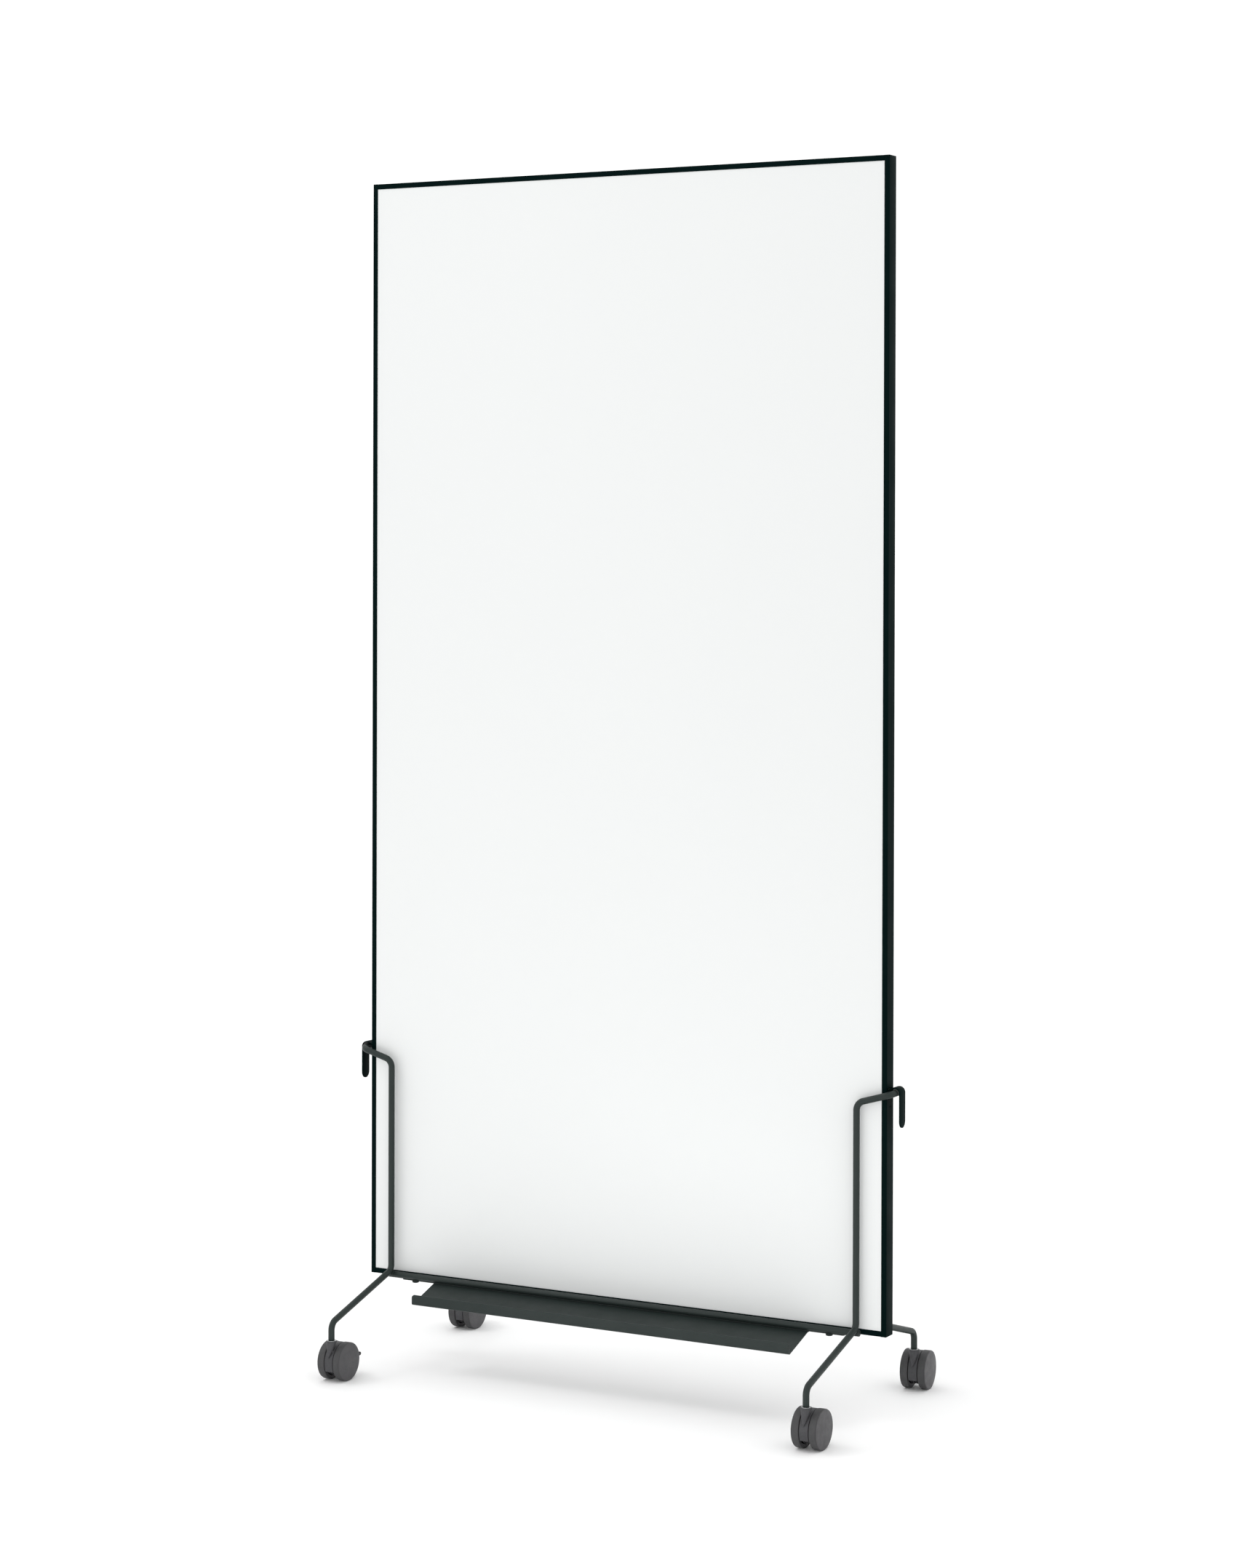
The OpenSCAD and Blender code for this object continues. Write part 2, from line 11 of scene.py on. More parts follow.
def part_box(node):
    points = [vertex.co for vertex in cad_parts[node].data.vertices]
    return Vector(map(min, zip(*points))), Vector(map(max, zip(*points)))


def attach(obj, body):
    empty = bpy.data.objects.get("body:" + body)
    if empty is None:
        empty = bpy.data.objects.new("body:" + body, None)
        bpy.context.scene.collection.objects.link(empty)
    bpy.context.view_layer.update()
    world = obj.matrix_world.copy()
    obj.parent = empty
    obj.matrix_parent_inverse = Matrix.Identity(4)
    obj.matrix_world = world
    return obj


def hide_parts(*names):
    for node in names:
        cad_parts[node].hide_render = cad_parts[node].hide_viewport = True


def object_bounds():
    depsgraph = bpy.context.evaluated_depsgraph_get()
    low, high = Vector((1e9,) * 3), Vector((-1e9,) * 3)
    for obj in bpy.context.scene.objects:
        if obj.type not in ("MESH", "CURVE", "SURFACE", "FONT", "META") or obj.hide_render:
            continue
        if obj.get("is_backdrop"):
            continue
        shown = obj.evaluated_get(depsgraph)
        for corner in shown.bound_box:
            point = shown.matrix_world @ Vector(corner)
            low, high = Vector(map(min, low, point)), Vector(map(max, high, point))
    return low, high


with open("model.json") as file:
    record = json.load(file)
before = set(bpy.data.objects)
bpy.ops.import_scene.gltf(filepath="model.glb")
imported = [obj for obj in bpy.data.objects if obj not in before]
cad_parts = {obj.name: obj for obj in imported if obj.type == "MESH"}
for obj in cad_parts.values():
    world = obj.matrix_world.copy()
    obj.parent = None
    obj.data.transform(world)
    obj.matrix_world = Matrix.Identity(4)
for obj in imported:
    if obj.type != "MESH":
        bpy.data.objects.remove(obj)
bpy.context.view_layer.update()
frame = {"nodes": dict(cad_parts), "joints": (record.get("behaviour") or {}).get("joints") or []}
NODES = frame["nodes"]
MM = 0.001

# ---- Sizes in millimetres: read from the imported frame, or shared with the part's source ----


def mm_box(node):
    low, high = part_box(node)
    return Vector(low) / MM, Vector(high) / MM


def centre(node):
    low, high = mm_box(node)
    return (low + high) / 2


CASTERS = ("front_left", "front_right", "rear_left", "rear_right")
BRAKED = ("front_left", "rear_left")
JOINTS = {j["name"]: j for j in frame["joints"]}
stem = {c: centre(c + "_stem_bush") for c in CASTERS}
board_low, board_high = mm_box("right_stile")
board_half = board_high.x
mid_y = (board_low.y + board_high.y) / 2
board_t = board_high.y - board_low.y
base, board_top = board_low.z, board_high.z
bezel = board_high.x - board_low.x
leg_low, leg_high = mm_box("right_leg")
rod_r = 5.0
ROD_GAP = 5
WIDE_BEND, TIGHT_BEND = 15, 12
SHOULDER_UP, KNEE_UP, LEG_DROP = 350, 10.7, 50.7
rod_x = stem["front_right"].x
foot = (stem["rear_right"].y - stem["front_right"].y) / 2
rod_y = board_t / 2 + rod_r + ROD_GAP
caster_top = mm_box("front_right_stem_bush")[1].z
loop_x = leg_high.x - rod_r
loop_z = leg_high.z - rod_r
shoulder_z = base + SHOULDER_UP
knee_z = base + KNEE_UP
ankle_z = knee_z - LEG_DROP


# ---- Mesh helpers ----


def finish_mesh(obj, material, body, nodes=(), angle=34):
    """Puts a millimetre mesh into metres, smooths it and hangs it on its body."""
    mesh = obj.data
    for v in mesh.vertices:
        v.co *= MM
    bm = bmesh.new()
    bm.from_mesh(mesh)
    bmesh.ops.remove_doubles(bm, verts=bm.verts, dist=1e-7)
    bmesh.ops.recalc_face_normals(bm, faces=bm.faces)
    bm.to_mesh(mesh)
    bm.free()
    mesh.materials.clear()
    mesh.materials.append(material)
    mesh.shade_smooth()
    mesh.set_sharp_from_angle(angle=math.radians(angle))
    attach(obj, body)
    if nodes:
        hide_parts(*nodes)
    return obj


def make(name, verts, faces):
    mesh = bpy.data.meshes.new(name)
    mesh.from_pydata([tuple(v) for v in verts], [], faces)
    mesh.update()
    obj = bpy.data.objects.new(name, mesh)
    bpy.context.scene.collection.objects.link(obj)
    return obj


def merge(parts):
    """Joins (verts, faces) shells into one."""
    verts, faces = [], []
    for part_verts, part_faces in parts:
        start = len(verts)
        verts += [Vector(v) for v in part_verts]
        faces += [tuple(i + start for i in f) for f in part_faces]
    return verts, faces


def moved(shell, matrix):
    verts, faces = shell
    return [matrix @ Vector(v) for v in verts], faces


def applied(obj):
    """Turns an object's modifiers into plain mesh."""
    graph = bpy.context.evaluated_depsgraph_get()
    result = bpy.data.meshes.new_from_object(obj.evaluated_get(graph))
    obj.modifiers.clear()
    obj.data = result
    return obj


def boolean(first, others, operation):
    """Exact boolean of millimetre objects; the others are used up."""
    for other in others:
        mod = first.modifiers.new("cut", "BOOLEAN")
        mod.operation = operation
        mod.solver = "EXACT"
        mod.object = other
        applied(first)
        bpy.data.objects.remove(other)
    return first


def bevelled(obj, width, segments=2, angle=40):
    """Rounds the edges of a millimetre object that turn by more than the angle."""
    mod = obj.modifiers.new("bevel", "BEVEL")
    mod.width = width
    mod.segments = segments
    mod.limit_method = "ANGLE"
    mod.angle_limit = math.radians(angle)
    return applied(obj)


def fillet(points, radii, steps=4, closed=True):
    """Rounds the corners of a flat outline; radii is one number or one for each point."""
    out = []
    n = len(points)
    for i, p in enumerate(points):
        p = Vector(p)
        r = radii[i] if isinstance(radii, (list, tuple)) else radii
        if not r or (not closed and i in (0, n - 1)):
            out.append(p)
            continue
        a, b = Vector(points[i - 1]) - p, Vector(points[(i + 1) % n]) - p
        a.normalize()
        b.normalize()
        turn = math.pi - a.angle(b)
        if turn < 1e-4:
            out.append(p)
            continue
        reach = r * math.tan(turn / 2)
        middle = p + (a + b).normalized() * (r / math.cos(turn / 2))
        start, end = p + a * reach - middle, p + b * reach - middle
        for k in range(steps + 1):
            t = k / steps
            v = start * (math.sin((1 - t) * turn) / math.sin(turn)) + end * (
                math.sin(t * turn) / math.sin(turn))
            out.append(middle + v)
    return out


def arc(cx, cy, r, start, end, steps):
    return [(cx + r * math.cos(math.radians(start + (end - start) * i / steps)),
             cy + r * math.sin(math.radians(start + (end - start) * i / steps)))
            for i in range(steps + 1)]


def rectangle(x0, y0, x1, y1):
    return [(x0, y0), (x1, y0), (x1, y1), (x0, y1)]


def pin_profile(r, low, high):
    """Profile of a plain round pin, for lathe()."""
    return [(0, low), (r, low), (r, high), (0, high)]


def ring_faces(rings, count):
    """Walls between rings of count points that follow one another, and a cap at each end."""
    faces = []
    for i in range(rings - 1):
        for k in range(count):
            j = (k + 1) % count
            faces.append((i * count + k, i * count + j, (i + 1) * count + j, (i + 1) * count + k))
    faces.append(tuple(reversed(range(count))))
    faces.append(tuple((rings - 1) * count + k for k in range(count)))
    return faces


def inset(outline, distance):
    """Moves every point of a closed outline inwards."""
    n = len(outline)
    area = sum(outline[i - 1].x * outline[i].y - outline[i].x * outline[i - 1].y
               for i in range(n))
    side = 1 if area > 0 else -1
    out = []
    for i, p in enumerate(outline):
        a, b = p - outline[i - 1], outline[(i + 1) % n] - p
        na = Vector((-a.y, a.x)).normalized()
        nb = Vector((-b.y, b.x)).normalized()
        both = (na + nb).normalized()
        out.append(p + both * side * distance / max(0.5, both.dot(na)))
    return out


def prism(outline, low, high, rim=0.0, rim_steps=3):
    """Extrudes a closed outline along Z, with both rims rounded."""
    outline = [Vector(p) for p in outline]
    clean = []
    for p in outline:
        if not clean or (p - clean[-1]).length > 1e-4:
            clean.append(p)
    if (clean[0] - clean[-1]).length < 1e-4:
        clean.pop()
    if rim:
        layers = [(low + rim * (1 - math.cos(math.pi / 2 * k / rim_steps)),
                   rim * (1 - math.sin(math.pi / 2 * k / rim_steps)))
                  for k in range(rim_steps + 1)]
        layers += [(low + high - z, d) for z, d in reversed(layers)]
    else:
        layers = [(low, 0), (high, 0)]
    verts = []
    for z, d in layers:
        ring = inset(clean, d) if d else clean
        verts += [Vector((p.x, p.y, z)) for p in ring]
    return verts, ring_faces(len(layers), len(clean))


def lathe(profile, count=64, shape=None):
    """Spins a profile of (radius, height) round Z; shape(i, angle) may scale point i's radius."""
    verts, faces, rows = [], [], []
    for i, (r, h) in enumerate(profile):
        if r < 1e-6:
            rows.append([len(verts)])
            verts.append(Vector((0, 0, h)))
            continue
        row = []
        for k in range(count):
            a = 2 * math.pi * k / count
            rr = r * (shape(i, a) if shape else 1)
            row.append(len(verts))
            verts.append(Vector((rr * math.cos(a), rr * math.sin(a), h)))
        rows.append(row)
    closed = len(rows[0]) > 1 or len(rows[-1]) > 1
    pairs = list(zip(rows, rows[1:]))
    if closed:
        pairs.append((rows[-1], rows[0]))
    for lower, upper in pairs:
        if len(lower) == 1 and len(upper) == 1:
            continue
        for k in range(count):
            j = (k + 1) % count
            if len(lower) == 1:
                faces.append((lower[0], upper[j], upper[k]))
            elif len(upper) == 1:
                faces.append((lower[k], lower[j], upper[0]))
            else:
                faces.append((lower[k], lower[j], upper[j], upper[k]))
    return verts, faces


def bent_path(points, radii, step=4):
    """Centre line of a bent rod: straights and arcs through rounded corners."""
    out = [Vector(points[0])]
    for i in range(1, len(points) - 1):
        p = Vector(points[i])
        a = (Vector(points[i - 1]) - p).normalized()
        b = (Vector(points[i + 1]) - p).normalized()
        turn = math.pi - a.angle(b)
        reach = radii[i] * math.tan(turn / 2)
        middle = p + (a + b).normalized() * (radii[i] / math.cos(turn / 2))
        start, end = p + a * reach - middle, p + b * reach - middle
        steps = max(3, round(math.degrees(turn) / step))
        for k in range(steps + 1):
            t = k / steps
            out.append(middle + (start * math.sin((1 - t) * turn) + end * math.sin(t * turn))
                       / math.sin(turn))
    out.append(Vector(points[-1]))
    return out


def directions(path):
    """Unit tangents of a path and a side vector carried along it without twist."""
    n = len(path)
    tangents = []
    for i in range(n):
        a = path[max(i - 1, 0)]
        b = path[min(i + 1, n - 1)]
        tangents.append((b - a).normalized())
    side = tangents[0].orthogonal().normalized()
    sides = [side]
    for i in range(1, n):
        turn = tangents[i - 1].rotation_difference(tangents[i])
        side = turn @ side
        side = (side - tangents[i] * side.dot(tangents[i])).normalized()
        sides.append(side)
    return tangents, sides


def tube(path, radii, count=40):
    """A round bar along a path; radii is one number or one for each point. Ends are closed."""
    tangents, sides = directions(path)
    verts = []
    for i, p in enumerate(path):
        r = radii[i] if isinstance(radii, (list, tuple)) else radii
        up = tangents[i].cross(sides[i])
        for k in range(count):
            a = 2 * math.pi * k / count
            verts.append(p + (sides[i] * math.cos(a) + up * math.sin(a)) * r)
    return verts, ring_faces(len(path), count)


def rounded_bar(start, end, r, edge, count=48, rim_steps=4):
    """A round bar from start to end with rounded rims."""
    start, end = Vector(start), Vector(end)
    along = (end - start).normalized()
    length = (end - start).length
    stations, radii = [], []
    for k in range(rim_steps + 1):
        a = math.pi / 2 * k / rim_steps
        stations.append(edge * (1 - math.cos(a)))
        radii.append(r - edge * (1 - math.sin(a)))
    stations += [length - s for s in reversed(stations)]
    radii += list(reversed(radii))
    return tube([start + along * s for s in stations], radii, count)


def mirror_x(shell):
    verts, faces = shell
    return [Vector((-v[0], v[1], v[2])) for v in verts], [tuple(reversed(f)) for f in faces]


# ---- Materials: every one is built from nodes and works in the object's own coordinates ----


def material(name, low, high, rough, grain, depth, metallic=0.0, patch=9.0, stretch=(1, 1, 1),
             rough_patch=None, specular=0.5, fleck=0.0):
    """Two-tone base colour, patchy roughness and a fine grain in the bump.

    low and high are the two colours, rough the two ends of the roughness, grain and depth the
    scale and height of the bump, patch the scale of the patches and fleck the share of the fine
    grain in the colour."""
    mat = bpy.data.materials.new(name)
    mat.use_nodes = True
    nodes, links = mat.node_tree.nodes, mat.node_tree.links
    nodes.clear()
    out = nodes.new("ShaderNodeOutputMaterial")
    shader = nodes.new("ShaderNodeBsdfPrincipled")
    links.new(shader.outputs["BSDF"], out.inputs["Surface"])
    place = nodes.new("ShaderNodeTexCoord")
    scale = nodes.new("ShaderNodeMapping")
    scale.inputs["Scale"].default_value = stretch
    links.new(place.outputs["Object"], scale.inputs["Vector"])

    def noise(size, detail, roughness=0.55):
        n = nodes.new("ShaderNodeTexNoise")
        n.inputs["Scale"].default_value = size
        n.inputs["Detail"].default_value = detail
        n.inputs["Roughness"].default_value = roughness
        links.new(scale.outputs["Vector"], n.inputs["Vector"])
        return n

    def spread(source, a, b, start=0.3, end=0.7):
        r = nodes.new("ShaderNodeMapRange")
        r.inputs["From Min"].default_value = start
        r.inputs["From Max"].default_value = end
        r.inputs["To Min"].default_value = a
        r.inputs["To Max"].default_value = b
        links.new(source, r.inputs["Value"])
        return r

    large = noise(patch, 4)
    fine = noise(grain, 3, 0.6)
    tone = nodes.new("ShaderNodeMix")
    tone.data_type = "RGBA"
    tone.inputs["A"].default_value = (*low, 1)
    tone.inputs["B"].default_value = (*high, 1)
    if fleck:
        both = nodes.new("ShaderNodeMix")
        both.data_type = "FLOAT"
        both.inputs["Factor"].default_value = fleck
        links.new(spread(large.outputs["Fac"], 0, 1).outputs["Result"], both.inputs["A"])
        links.new(spread(fine.outputs["Fac"], 0, 1).outputs["Result"], both.inputs["B"])
        links.new(both.outputs["Result"], tone.inputs["Factor"])
    else:
        links.new(spread(large.outputs["Fac"], 0, 1).outputs["Result"], tone.inputs["Factor"])
    links.new(tone.outputs["Result"], shader.inputs["Base Color"])
    rough_noise = noise(rough_patch or patch * 2.3, 5)
    links.new(spread(rough_noise.outputs["Fac"], rough[0], rough[1]).outputs["Result"],
              shader.inputs["Roughness"])
    bump = nodes.new("ShaderNodeBump")
    bump.inputs["Strength"].default_value = 1.0
    bump.inputs["Distance"].default_value = depth
    links.new(fine.outputs["Fac"], bump.inputs["Height"])
    links.new(bump.outputs["Normal"], shader.inputs["Normal"])
    shader.inputs["Metallic"].default_value = metallic
    shader.inputs["Specular IOR Level"].default_value = specular
    return mat


LOOKS = {
    "leg_paint": material("leg_powder_coat", (0.014, 0.021, 0.0195), (0.019, 0.027, 0.025),
                          (0.40, 0.52), 1900, 0.000012, patch=14, fleck=0.35, specular=0.25),
    "frame_paint": material("frame_powder_coat", (0.0006, 0.0052, 0.0052), (0.0014, 0.0074, 0.0073),
                            (0.40, 0.52), 2300, 0.000006, patch=11, fleck=0.3, specular=0.015),
    "writing_enamel": material("writing_enamel", (0.750, 0.764, 0.760), (0.758, 0.771, 0.767),
                               (0.30, 0.34), 900, 0.000002, patch=3.5, rough_patch=30, fleck=0.4,
                               specular=0.4),
    "core_board": material("core_fibreboard", (0.36, 0.26, 0.15), (0.50, 0.38, 0.24),
                           (0.75, 0.9), 900, 0.0001, patch=60, stretch=(1, 1, 3)),
    "bare_steel": material("zinc_plated_steel", (0.50, 0.51, 0.52), (0.62, 0.63, 0.64),
                           (0.28, 0.42), 1500, 0.00001, metallic=1, patch=80),
    "bright_steel": material("bright_plated_steel", (0.24, 0.25, 0.25), (0.36, 0.37, 0.37),
                             (0.16, 0.28), 2500, 0.000004, metallic=1, patch=120),
    "saddle_nylon": material("saddle_nylon", (0.018, 0.017, 0.016), (0.028, 0.026, 0.024),
                             (0.5, 0.62), 1600, 0.00003, patch=70),
    "caster_plastic": material("caster_housing_nylon", (0.034, 0.034, 0.037), (0.056, 0.056, 0.060),
                               (0.46, 0.62), 900, 0.00012, patch=55, fleck=0.75, specular=0.35),
    "wheel_plastic": material("wheel_cover_nylon", (0.040, 0.039, 0.042), (0.072, 0.070, 0.074),
                              (0.44, 0.60), 900, 0.00014, patch=45, fleck=0.8, specular=0.4),
    "tread_rubber": material("tread_polyurethane", (0.036, 0.036, 0.037), (0.056, 0.056, 0.058),
                             (0.50, 0.66), 1000, 0.0001, patch=60, fleck=0.6, specular=0.35),
    "pedal_plastic": material("pedal_nylon", (0.010, 0.010, 0.011), (0.018, 0.018, 0.019),
                              (0.42, 0.55), 2000, 0.00004, patch=60, fleck=0.3, specular=0.35),
}


# ---- Legs, crossbars, strip and tray ----

PIN_R, PIN_EDGE = 3.8, 0.6
GROOVE_LOW, GROOVE_HIGH = 39.9, 41.1


def leg_shell():
    """A bent rod whose turned ends each carry a groove for the grip ring."""
    shoulder = caster_top + 0.1
    half = [(rod_x, -foot, shoulder), (rod_x, -foot, ankle_z), (rod_x, -rod_y, knee_z),
            (rod_x, -rod_y, shoulder_z), (loop_x, -rod_y, loop_z)]
    bends = [0, WIDE_BEND, TIGHT_BEND, WIDE_BEND, TIGHT_BEND]
    points = half + [(x, -y, z) for x, y, z in reversed(half)]
    path = bent_path(points, bends + bends[::-1])
    low = leg_low.z
    neck = PIN_R - PIN_EDGE
    end = [(low, neck), (low + PIN_EDGE, PIN_R), (GROOVE_LOW, PIN_R), (GROOVE_LOW, neck),
           (GROOVE_HIGH, neck), (GROOVE_HIGH, PIN_R), (shoulder - 0.3, PIN_R),
           (shoulder, PIN_R + 0.3), (shoulder, rod_r - 0.6),
           (shoulder + 0.25, rod_r - 0.18), (shoulder + 0.6, rod_r)]
    front = [Vector((rod_x, -foot, z + 0.0001 * i)) for i, (z, r) in enumerate(end)]
    rear = [Vector((rod_x, foot, v.z)) for v in reversed(front)]
    ends = [r for z, r in end]
    whole = front + path[1:-1] + rear
    radii = ends + [rod_r] * (len(path) - 2) + ends[::-1]
    verts, faces = tube(whole, radii, 48)
    return [v + Vector((0, mid_y, 0)) for v in verts], faces


for side, shell in (("left", mirror_x(leg_shell())), ("right", leg_shell())):
    finish_mesh(make(side + "_leg_rod", *shell), LOOKS["leg_paint"], "stand", [side + "_leg"])

bar = {}
for where in ("front", "rear"):
    low, high = mm_box(where + "_crossbar")
    c = (low + high) / 2
    bar[where] = c
    shell = rounded_bar((low.x, c.y, c.z), (high.x, c.y, c.z), (high.z - low.z) / 2, 0.7)
    finish_mesh(make(where + "_crossbar_rod", *shell), LOOKS["leg_paint"], "stand",
                [where + "_crossbar"])

# Weld beads where each crossbar meets the bends of the legs
BEAD_STEPS, BEAD_ARC, BEAD_R = 24, 58, 1.05
turn = math.atan2(foot - rod_y, LEG_DROP)
knee_centre = Vector((0, rod_y + TIGHT_BEND, knee_z + TIGHT_BEND * math.tan(turn / 2)))
beads = []
for where, sign in (("front", -1), ("rear", 1)):
    c = bar[where]
    towards = Vector((0, sign * knee_centre.y + mid_y - c.y, knee_centre.z - c.z)).normalized()
    across = Vector((1, 0, 0)).cross(towards)
    for x in (-rod_x, rod_x):
        for step in (-1, 1):
            path, radii = [], []
            for k in range(BEAD_STEPS + 1):
                a = math.radians(-BEAD_ARC + 2 * BEAD_ARC * k / BEAD_STEPS)
                reach = rod_r + 0.15 - 0.1 * math.cos(a)
                offset = step * (1.4 + 2.6 * math.cos(a))
                path.append(Vector((x + offset, c.y, c.z))
                            + (towards * math.cos(a) + across * math.sin(a)) * reach)
                taper = min(1, (BEAD_STEPS / 2 - abs(k - BEAD_STEPS / 2)) / 3 + 0.35)
                radii.append((BEAD_R + 0.16 * math.cos(k * 2.1)) * taper)
            beads.append(tube(path, radii, 12))
finish_mesh(make("weld_beads", *merge(beads)), LOOKS["leg_paint"], "stand", angle=60)

low, high = mm_box("joining_strip")
c = (low + high) / 2
outline = fillet(rectangle(low.x, low.y, high.x, high.y), 4, 6)
finish_mesh(make("joining_strip_plate", *prism(outline, low.z, high.z, 0.3)), LOOKS["leg_paint"],
            "stand", ["joining_strip"])


def hexagon(i, a):
    """Turns the second and third rings of a screw's profile into the walls of a hexagon socket."""
    if i in (1, 2):
        return math.cos(math.pi / 6) / math.cos((a % (math.pi / 3)) - math.pi / 6)
    return 1


def pan_head(r, h, socket, depth, shank, shank_l):
    """A low domed screw with a hexagon socket: its head hangs down from Z = 0."""
    flat_to = 24
    dome = [(r * math.sin(math.radians(a)), -h * 0.45 - h * 0.55 * math.cos(math.radians(a)))
            for a in (*range(flat_to, 90, 10), 90)]
    face = dome[0][1]
    profile = [(0, face + depth - 0.25), (socket - 0.1, face + depth), (socket, face + 0.2),
               (socket + 0.15, face)]
    profile += dome
    profile += [(r, -0.15), (r - 0.15, 0), (shank, 0), (shank, shank_l - 0.4),
                (shank - 0.4, shank_l), (0, shank_l)]
    return lathe(profile, 48, hexagon)


STRIP_HEAD_R, TRAY_HEAD_R = 5.5, 3.25
screws = []
low, high = mm_box("strip_screws")
strip_low = mm_box("joining_strip")[0].z
for x in (low.x + STRIP_HEAD_R, high.x - STRIP_HEAD_R):
    for where in ("front", "rear"):
        head = pan_head(STRIP_HEAD_R, 3, 1.75, 1.7, 2.5, high.z - strip_low)
        screws.append(moved(head, Matrix.Translation((x, bar[where].y, strip_low))))
finish_mesh(make("strip_screw_set", *merge(screws)), LOOKS["leg_paint"], "stand", ["strip_screws"])


TRAY_T, TRAY_SLOPE, TRAY_LIP, TRAY_FLANGE, TRAY_CORNER = 1.5, math.radians(17.4), 17.5, 16, 5


def tray_object():
    """The folded tray: a sheet with rounded folds whose lip has rounded upper corners."""
    low, high = mm_box("pen_tray")
    strip_front = mm_box("joining_strip")[0].y
    top = mm_box("joining_strip")[0].z
    depth = strip_front - low.y
    floor_end = top - depth * math.tan(TRAY_SLOPE)
    lip_top = floor_end - TRAY_T / math.cos(TRAY_SLOPE) + TRAY_LIP
    flange_y = strip_front + TRAY_FLANGE
    mid = TRAY_T / 2
    corner = Vector((low.y + mid, floor_end - mid / math.cos(TRAY_SLOPE)))
    centre_line = [Vector((flange_y, top - mid)), Vector((strip_front, top - mid)), corner,
                   Vector((low.y + mid, lip_top))]
    flat = fillet(centre_line, [0, 2.6, 2.4, 0], 6, closed=False)
    lip_base = flat[-2]
    half = high.x
    r = TRAY_CORNER
    columns = [-half + r * (1 - math.cos(math.radians(a))) for a in range(0, 91, 10)]
    columns += [-half + r + (2 * half - 2 * r) * k / 40 for k in range(1, 40)]
    columns += [half - r * (1 - math.cos(math.radians(a))) for a in range(90, -1, -10)]
    verts, faces = [], []
    lip_steps = 4
    rows = len(flat) - 1 + lip_steps
    for x in columns:
        from_end = half - abs(x)
        drop = r - math.sqrt(max(0, r * r - (r - from_end) ** 2)) if from_end < r else 0
        for p in flat[:-1]:
            verts.append((x, p.x, p.y))
        for k in range(1, lip_steps + 1):
            z = lip_base.y + (lip_top - drop - lip_base.y) * k / lip_steps
            verts.append((x, lip_base.x, z))
    for i in range(len(columns) - 1):
        for k in range(rows - 1):
            here, beyond = i * rows + k, (i + 1) * rows + k
            faces.append((here, beyond, beyond + 1, here + 1))
    obj = make("pen_tray_sheet", verts, faces)
    mod = obj.modifiers.new("thickness", "SOLIDIFY")
    mod.thickness = TRAY_T
    mod.offset = 0
    mod.use_even_offset = True
    return bevelled(applied(obj), 0.35, 2, 60)


finish_mesh(tray_object(), LOOKS["leg_paint"], "stand", ["pen_tray"])

heads = []
low, high = mm_box("tray_screws")
tray_under = mm_box("joining_strip")[0].z - TRAY_T
TRAY_SCREWS = 5
for k in range(TRAY_SCREWS):
    x = low.x + TRAY_HEAD_R + (high.x - low.x - 2 * TRAY_HEAD_R) * k / (TRAY_SCREWS - 1)
    head = pan_head(TRAY_HEAD_R, 1.5, 1.2, 0.9, 1.5, 2.9)
    heads.append(moved(head, Matrix.Translation((x, (low.y + high.y) / 2, tray_under))))
finish_mesh(make("tray_screw_set", *merge(heads)), LOOKS["leg_paint"], "stand", ["tray_screws"])


# ---- Board ----

WEB, LIP = 1.8, 1.2


def channel_outline():
    """Section of the frame: X runs inwards from the outer wall and Y through the board."""
    t = board_t / 2
    points = [(0, -t), (bezel, -t), (bezel, -t + LIP), (WEB, -t + LIP), (WEB, t - LIP),
              (bezel, t - LIP), (bezel, t), (0, t)]
    return fillet(points, [1.1, 0.45, 0.3, 0.3, 0.3, 0.3, 0.45, 1.1], 4)


SLOT_LOW, SLOT_HIGH, SLOT_HALF = 368.5, 372.3, 10.4
HOOK_SCREWS_DOWN = (8, 22)


def side_screw_places():
    """Where the hook's two countersunk screws sit in the right stile, heads outwards."""
    outwards = Matrix.Rotation(math.pi / 2, 4, "Y")
    return [Matrix.Translation((board_half, mid_y, loop_z - down)) @ outwards
            for down in HOOK_SCREWS_DOWN]


def stile_object(name):
    """The right stile, with the slot that the hook passes through and its two screw holes."""
    verts, faces = prism(channel_outline(), base, board_top, 0.3, 2)
    verts = [Vector((board_half - v.x, v.y + mid_y, v.z)) for v in verts]
    body = make(name, verts, [tuple(reversed(f)) for f in faces])
    gap = fillet(rectangle(-SLOT_HALF, base + SLOT_LOW, SLOT_HALF, base + SLOT_HIGH), 1.2, 3)
    cut_verts, cut_faces = prism(gap, board_half - 3.0, board_half + 2)
    cutters = [make("cutter", [Vector((v.z, v.x + mid_y, v.y)) for v in cut_verts], cut_faces)]
    sink = lathe([(0, -4), (1.85, -4), (1.85, -1.6), (3.42, -0.03), (3.42, 1), (0, 1)], 48)
    cutters += [make("cutter", *moved(sink, place)) for place in side_screw_places()]
    return boolean(body, cutters, "DIFFERENCE")


right = stile_object("right_stile_profile")
left_data = right.data.copy()
left = bpy.data.objects.new("left_stile_profile", left_data)
bpy.context.scene.collection.objects.link(left)
for v in left_data.vertices:
    v.co.x = -v.co.x
left_data.flip_normals()
finish_mesh(right, LOOKS["frame_paint"], "board", ["right_stile"])
finish_mesh(left, LOOKS["frame_paint"], "board", ["left_stile"])

for name, z, sign in (("bottom_rail", base, 1), ("top_rail", board_top, -1)):
    low, high = mm_box(name)
    verts, faces = prism(channel_outline(), low.x + 0.05, high.x - 0.05, 0.12, 1)
    placed = [Vector((v.z, v.y + mid_y, z + sign * v.x)) for v in verts]
    finish_mesh(make(name + "_profile", placed, faces), LOOKS["frame_paint"], "board", [name])


